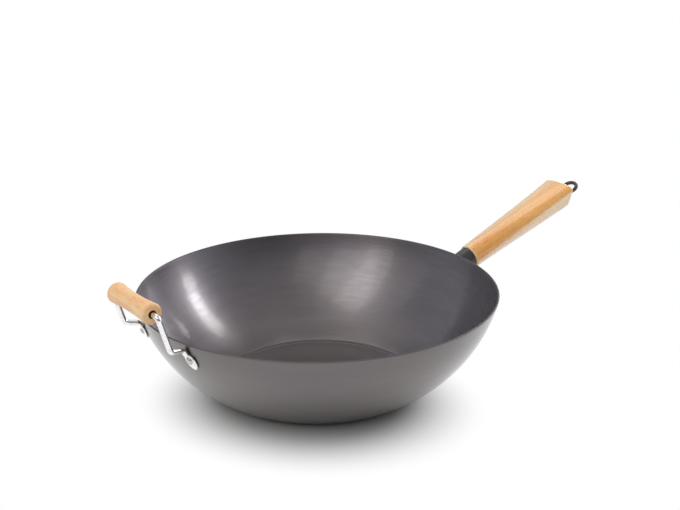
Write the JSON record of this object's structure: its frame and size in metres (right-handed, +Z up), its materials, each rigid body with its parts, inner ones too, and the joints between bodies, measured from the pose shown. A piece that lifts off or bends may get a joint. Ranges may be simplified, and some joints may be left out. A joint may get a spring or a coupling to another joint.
{
  "type": "wok",
  "caption": "Flat-bottomed carbon steel wok with a tilted wooden long handle, a hanging eye and a wooden helper grip that turns on a riveted wire bail.",
  "frame": {"origin": "centre of the flat base, on the surface it stands on", "axes": "+Z up, +X towards the long handle, the helper grip at -X"},
  "size_m": [0.5594, 0.3497, 0.1477],
  "materials": {
    "carbon_steel": "dark satin, faintly brushed round the bowl",
    "black_steel": "satin black",
    "plain_steel": "plain turned steel",
    "plated_steel": "bright plated",
    "handle_wood": "warm varnished hardwood",
    "grip_wood": "pale oiled beech"
  },
  "bodies": {
    "wok": {"wok_bowl": "carbon_steel", "handle_ferrule": "black_steel", "ferrule_weld": "black_steel", "ferrule_plug": "plain_steel", "long_handle": "handle_wood", "hanging_eye_rod": "black_steel", "eye_washer": "black_steel", "helper_bail": "plated_steel", "helper_rivet_right": "plated_steel", "helper_rivet_left": "plated_steel"},
    "grip": {"helper_grip": "grip_wood"}
  },
  "joints": [
    {"name": "helper_grip_spin", "type": "hinge", "parent": "wok", "child": "grip", "pos_m": [-0.1951, 0, 0.1274], "axis": [0, 1, 0], "continuous": true}
  ]
}
